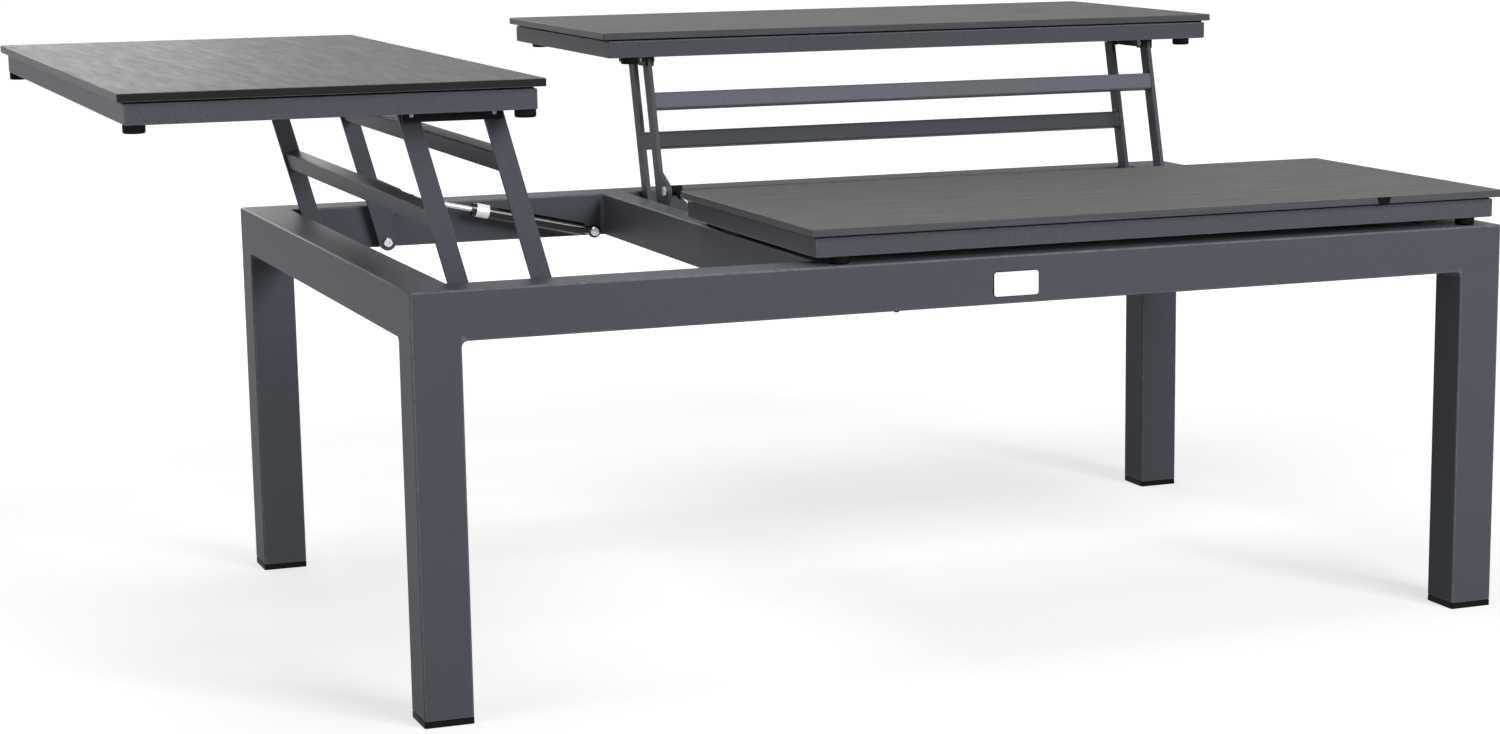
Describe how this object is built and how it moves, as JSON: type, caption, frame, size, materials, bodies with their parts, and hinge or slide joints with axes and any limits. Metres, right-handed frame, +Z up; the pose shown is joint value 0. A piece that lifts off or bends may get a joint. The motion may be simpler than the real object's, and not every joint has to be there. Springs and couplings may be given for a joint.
{
  "type": "flip-up lounge table",
  "caption": "Low rectangular lounge table with a tube frame and tops that lift and swing outwards on parallel arms with gas springs.",
  "frame": {"origin": "on the floor, midway between the four feet of the base frame", "axes": "+X along the long side towards the pair of tops that share one bay, +Y across towards the rear top, +Z up"},
  "size_m": [1.4831, 1.0591, 0.6258],
  "materials": {
    "anthracite_coat": "fine-textured anthracite powder coat",
    "dark_laminate": "compact laminate, dark grey-brown, fine streaks",
    "black_coat": "satin black coat",
    "black_gloss_coat": "gloss black coat",
    "bright_steel": "bright zinc or chrome plate",
    "satin_aluminium": "brushed plate with a blank face",
    "black_rubber": "moulded rubber",
    "black_plastic": "moulded plastic"
  },
  "bodies": {
    "base": {"front_rail": "anthracite_coat", "rear_rail": "anthracite_coat", "left_rail": "anthracite_coat", "right_rail": "anthracite_coat", "cross_rail": "anthracite_coat", "right_inner_rail": "anthracite_coat", "front_left_leg": "anthracite_coat", "front_right_leg": "anthracite_coat", "rear_left_leg": "anthracite_coat", "rear_right_leg": "anthracite_coat", "foot_caps": "black_plastic", "blank_badge_plate": "satin_aluminium", "rail_pivot_bolts": "bright_steel", "rail_pivot_bushes": "bright_steel", "gas_spring_bolts": "bright_steel"},
    "left_top": {"left_laminate": "dark_laminate", "left_subframe": "anthracite_coat", "left_laminate_pads": "black_rubber", "left_pivot_brackets": "black_coat", "left_upper_pivot_bolts": "bright_steel", "left_bumpers": "black_rubber", "left_bumper_studs": "bright_steel"},
    "left_inner_arm_pair": {"left_inner_arms": "anthracite_coat", "left_inner_cross_bar": "anthracite_coat", "left_ear_nut": "bright_steel"},
    "left_outer_arm_pair": {"left_outer_arms": "anthracite_coat", "left_outer_cross_bar": "anthracite_coat"},
    "left_spring_cylinder": {"left_gas_cylinder": "black_gloss_coat"},
    "left_spring_rod": {"left_gas_rod": "bright_steel", "left_ball_socket": "black_plastic"},
    "rear_top": {"rear_laminate": "dark_laminate", "rear_subframe": "anthracite_coat", "rear_laminate_pads": "black_rubber", "rear_pivot_brackets": "black_coat", "rear_upper_pivot_bolts": "bright_steel", "rear_bumpers": "black_rubber", "rear_bumper_studs": "bright_steel"},
    "rear_inner_arm_pair": {"rear_inner_arms": "anthracite_coat", "rear_inner_cross_bar": "anthracite_coat", "rear_ear_nut": "bright_steel"},
    "rear_outer_arm_pair": {"rear_outer_arms": "anthracite_coat", "rear_outer_cross_bar": "anthracite_coat"},
    "rear_spring_cylinder": {"rear_gas_cylinder": "black_gloss_coat"},
    "rear_spring_rod": {"rear_gas_rod": "bright_steel", "rear_ball_socket": "black_plastic"},
    "front_top": {"front_laminate": "dark_laminate", "front_subframe": "anthracite_coat", "front_laminate_pads": "black_rubber", "front_pivot_brackets": "black_coat", "front_upper_pivot_bolts": "bright_steel", "front_bumpers": "black_rubber", "front_bumper_studs": "bright_steel"},
    "front_inner_arm_pair": {"front_inner_arms": "anthracite_coat", "front_inner_cross_bar": "anthracite_coat", "front_ear_nut": "bright_steel"},
    "front_outer_arm_pair": {"front_outer_arms": "anthracite_coat", "front_outer_cross_bar": "anthracite_coat"},
    "front_spring_cylinder": {"front_gas_cylinder": "black_gloss_coat"},
    "front_spring_rod": {"front_gas_rod": "bright_steel", "front_ball_socket": "black_plastic"}
  },
  "joints": [
    {"name": "left_inner_arms_turn", "type": "hinge", "parent": "base", "child": "left_inner_arm_pair", "pos_m": [-0.4505, 0, 0.385], "axis": [0, 1, 0], "range_deg": [0, 92.53]},
    {"name": "left_top_level", "type": "hinge", "parent": "left_inner_arm_pair", "child": "left_top", "pos_m": [-0.50564, 0, 0.59077], "axis": [0, -1, 0], "range_deg": [0, 92.53]},
    {"name": "left_outer_arms_turn", "type": "hinge", "parent": "base", "child": "left_outer_arm_pair", "pos_m": [-0.5325, 0, 0.385], "axis": [0, 1, 0], "range_deg": [0, 92.53]},
    {"name": "left_spring_tilt", "type": "hinge", "parent": "base", "child": "left_spring_cylinder", "pos_m": [-0.1995, 0.3235, 0.386], "axis": [0, -1, 0], "range_deg": [0, 17.28]},
    {"name": "left_spring_stroke", "type": "slide", "parent": "left_spring_cylinder", "child": "left_spring_rod", "axis": [0.9754, 0, -0.2206], "range_m": [0, 0.04768]},
    {"name": "rear_inner_arms_turn", "type": "hinge", "parent": "base", "child": "rear_inner_arm_pair", "pos_m": [0.1985, 0.242, 0.385], "axis": [1, 0, 0], "range_deg": [0, 92.53]},
    {"name": "rear_top_level", "type": "hinge", "parent": "rear_inner_arm_pair", "child": "rear_top", "pos_m": [0.1985, 0.29714, 0.59077], "axis": [-1, 0, 0], "range_deg": [0, 92.53]},
    {"name": "rear_outer_arms_turn", "type": "hinge", "parent": "base", "child": "rear_outer_arm_pair", "pos_m": [0.1985, 0.324, 0.385], "axis": [1, 0, 0], "range_deg": [0, 92.53]},
    {"name": "rear_spring_tilt", "type": "hinge", "parent": "base", "child": "rear_spring_cylinder", "pos_m": [-0.125, -0.009, 0.386], "axis": [-1, 0, 0], "range_deg": [0, 17.28]},
    {"name": "rear_spring_stroke", "type": "slide", "parent": "rear_spring_cylinder", "child": "rear_spring_rod", "axis": [0, -0.9754, -0.2206], "range_m": [0, 0.04768]},
    {"name": "front_inner_arms_turn", "type": "hinge", "parent": "base", "child": "front_inner_arm_pair", "pos_m": [0.1985, -0.242, 0.385], "axis": [1, 0, 0], "range_deg": [0, 92.53]},
    {"name": "front_top_level", "type": "hinge", "parent": "front_inner_arm_pair", "child": "front_top", "pos_m": [0.1985, -0.034, 0.431], "axis": [-1, 0, 0], "range_deg": [0, 92.53]},
    {"name": "front_outer_arms_turn", "type": "hinge", "parent": "base", "child": "front_outer_arm_pair", "pos_m": [0.1985, -0.324, 0.385], "axis": [1, 0, 0], "range_deg": [0, 92.53]},
    {"name": "front_spring_tilt", "type": "hinge", "parent": "base", "child": "front_spring_cylinder", "pos_m": [0.522, 0.009, 0.386], "axis": [-1, 0, 0], "range_deg": [0, 17.28]},
    {"name": "front_spring_stroke", "type": "slide", "parent": "front_spring_cylinder", "child": "front_spring_rod", "axis": [0, -0.9969, -0.0791], "range_m": [0, 0.04768]}
  ],
  "couplings": [
    {"joint": "left_top_level", "follows": "left_inner_arms_turn", "ratio": 1},
    {"joint": "left_outer_arms_turn", "follows": "left_inner_arms_turn", "ratio": 1},
    {"joint": "left_spring_tilt", "follows": "left_inner_arms_turn", "ratio": 0.18676},
    {"joint": "left_spring_stroke", "follows": "left_inner_arms_turn", "m_per_rad": 0.029523},
    {"joint": "rear_top_level", "follows": "rear_inner_arms_turn", "ratio": 1},
    {"joint": "rear_outer_arms_turn", "follows": "rear_inner_arms_turn", "ratio": 1},
    {"joint": "rear_spring_tilt", "follows": "rear_inner_arms_turn", "ratio": 0.18676},
    {"joint": "rear_spring_stroke", "follows": "rear_inner_arms_turn", "m_per_rad": 0.029523},
    {"joint": "front_top_level", "follows": "front_inner_arms_turn", "ratio": 1},
    {"joint": "front_outer_arms_turn", "follows": "front_inner_arms_turn", "ratio": 1},
    {"joint": "front_spring_tilt", "follows": "front_inner_arms_turn", "ratio": 0.18676},
    {"joint": "front_spring_stroke", "follows": "front_inner_arms_turn", "m_per_rad": 0.029523}
  ]
}
